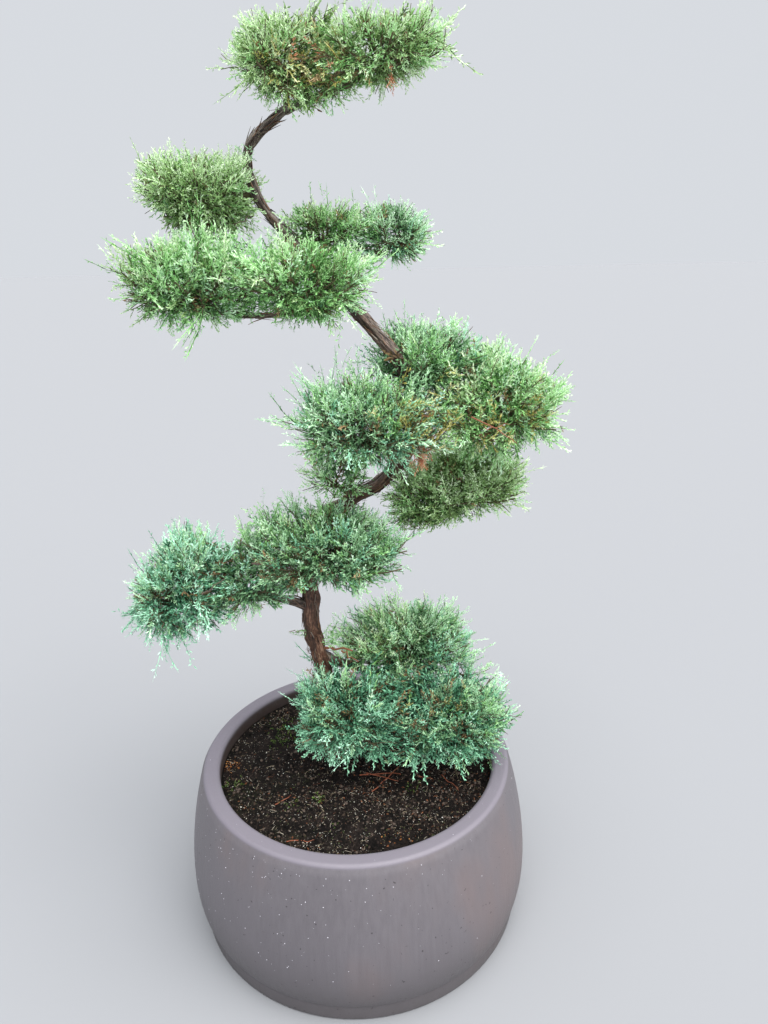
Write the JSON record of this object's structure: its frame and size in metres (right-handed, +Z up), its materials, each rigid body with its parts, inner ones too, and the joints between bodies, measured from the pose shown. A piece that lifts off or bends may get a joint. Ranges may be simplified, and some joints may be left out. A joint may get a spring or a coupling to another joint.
{
  "type": "potted juniper bonsai",
  "caption": "Cloud-pruned juniper with a bent trunk and feathery grey-green foliage pads, in a wide round matte planter filled with dark soil.",
  "frame": {"origin": "centre of the pot's flat underside, at ground level", "axes": "+Z up, -Y towards the front, the side that the tree is best seen from, +X to the viewer's right"},
  "size_m": [0.7883, 0.674, 1.6117],
  "materials": {
    "pot": "matte taupe, with faint upright streaks",
    "soil": "damp dark potting soil with bark crumbs",
    "bark": "rough fibrous red-brown to grey-brown bark",
    "foliage": "dull grey-green to blue-green scale-leaf sprays"
  },
  "bodies": {
    "root": {"pot": "pot", "soil": "soil", "trunk": "bark", "bough_high_right": "bark", "bough_mid_left": "bark", "bough_right_outer": "bark", "bough_right_front": "bark", "bough_right_under": "bark", "bough_right_tuft": "bark", "bough_low_left": "bark", "bough_low_outer": "bark", "bough_base_back": "bark", "bough_base_right": "bark", "foliage_top_left": "foliage", "foliage_top_right": "foliage", "foliage_high_left": "foliage", "foliage_high_mid": "foliage", "foliage_high_right": "foliage", "foliage_mid_left": "foliage", "foliage_mid_right": "foliage", "foliage_right_upper": "foliage", "foliage_right_outer": "foliage", "foliage_right_front": "foliage", "foliage_right_under": "foliage", "foliage_right_tuft": "foliage", "foliage_low_main": "foliage", "foliage_low_left": "foliage", "foliage_low_outer": "foliage", "foliage_base_back": "foliage", "foliage_base_left": "foliage", "foliage_base_right": "foliage"}
  },
  "joints": []
}
